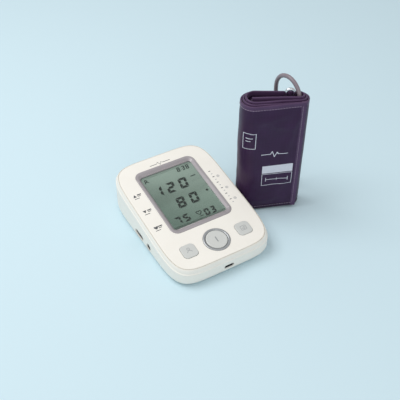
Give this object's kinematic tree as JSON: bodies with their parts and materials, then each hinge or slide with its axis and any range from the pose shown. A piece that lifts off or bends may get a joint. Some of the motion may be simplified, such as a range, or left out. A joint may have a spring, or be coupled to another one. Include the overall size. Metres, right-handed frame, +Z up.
{
  "type": "upper-arm blood pressure monitor",
  "caption": "Desktop blood pressure monitor with a sloping face, tall segment display and round start button, and a folded upper-arm cuff with D-ring and coiled air hose.",
  "frame": {"origin": "middle of the monitor's footprint, on the table it stands on", "axes": "+X to the right as the user faces the display, +Y to the monitor's rear, +Z up"},
  "size_m": [0.208, 0.148, 0.144],
  "materials": {
    "shell": "fine matt moulded",
    "silver_trim": "satin silver",
    "keys": "fine matt moulded",
    "lens": "clear",
    "lcd": "reflective grey-green",
    "light_guide": "milky",
    "dark_plastic": "moulded",
    "holder": "moulded",
    "zebra": "soft",
    "circuit_board": "solder mask",
    "steel": "plated",
    "sensor": "moulded",
    "feet": "soft",
    "pump_plastic": "moulded",
    "air_tube": "translucent silicone",
    "cell_can": "printed wrap, plain",
    "band_cloth": "brushed woven nylon",
    "loop_cloth": "loop pile",
    "bladder": "soft",
    "hose_rubber": "satin",
    "ring_metal": "polished"
  },
  "bodies": {
    "monitor": {"top_cover": "shell", "lower_case": "shell", "rubber_feet": "feet", "case_screws": "steel", "display_bezel": "silver_trim", "display_lens": "lens", "lcd_panel": "lcd", "backlight_plate": "light_guide", "lcd_holder": "holder", "contact_strip": "zebra", "main_board": "circuit_board", "board_chips": "dark_plastic", "board_screws": "steel", "tact_switches": "dark_plastic", "buzzer": "dark_plastic", "pressure_sensor": "sensor", "start_ring": "silver_trim", "pump_motor": "steel", "pump_head": "pump_plastic", "pump_cradles": "feet", "valve_body": "sensor", "air_tube_rear": "air_tube", "air_tube_side": "air_tube", "air_tube_front": "air_tube", "air_tee": "holder", "air_elbow": "holder", "air_socket": "dark_plastic", "power_jack": "dark_plastic", "front_port": "steel", "battery_cells": "cell_can", "battery_contacts": "steel", "battery_springs": "steel"},
    "start_key": {"start_button": "keys"},
    "user_key": {"user_button": "keys"},
    "memory_key": {"memory_button": "keys"},
    "door": {"battery_door": "shell"},
    "shaft": {"pump_shaft": "steel"},
    "plunger": {"valve_plunger": "steel"},
    "cuff": {"cuff_band": "band_cloth", "bladder_pocket": "band_cloth", "cuff_bladder": "bladder", "loop_patch": "loop_cloth", "ring_keeper": "band_cloth", "hose_port": "hose_rubber", "hose": "hose_rubber", "hose_coil": "hose_rubber", "hose_tie": "dark_plastic", "air_plug": "dark_plastic"},
    "ring": {"d_ring": "ring_metal"}
  },
  "joints": [
    {"name": "start_press", "type": "slide", "parent": "monitor", "child": "start_key", "axis": [0, 0.1392, -0.9903], "range_m": [0, 0.0008], "stiffness_N_per_m": 1500},
    {"name": "user_press", "type": "slide", "parent": "monitor", "child": "user_key", "axis": [0, 0.1392, -0.9903], "range_m": [0, 0.0008], "stiffness_N_per_m": 1500},
    {"name": "memory_press", "type": "slide", "parent": "monitor", "child": "memory_key", "axis": [0, 0.1392, -0.9903], "range_m": [0, 0.0008], "stiffness_N_per_m": 1500},
    {"name": "battery_door_hinge", "type": "hinge", "parent": "monitor", "child": "door", "pos_m": [0, -0.0118, 0.0019], "axis": [-1, 0, 0], "range_deg": [0, 80]},
    {"name": "pump_spin", "type": "hinge", "parent": "monitor", "child": "shaft", "pos_m": [0, 0.059, 0.0164], "axis": [1, 0, 0], "continuous": true},
    {"name": "valve_open", "type": "slide", "parent": "monitor", "child": "plunger", "axis": [0, 1, 0], "range_m": [0, 0.0008], "stiffness_N_per_m": 400},
    {"name": "cuff_lift", "type": "slide", "parent": "monitor", "child": "cuff", "axis": [0, 0, 1], "range_m": [0, 0.12]},
    {"name": "ring_swing", "type": "hinge", "parent": "cuff", "child": "ring", "pos_m": [0.09684, -0.0125, 0.07], "axis": [0, 0, 1], "range_deg": [-8, 8]}
  ]
}
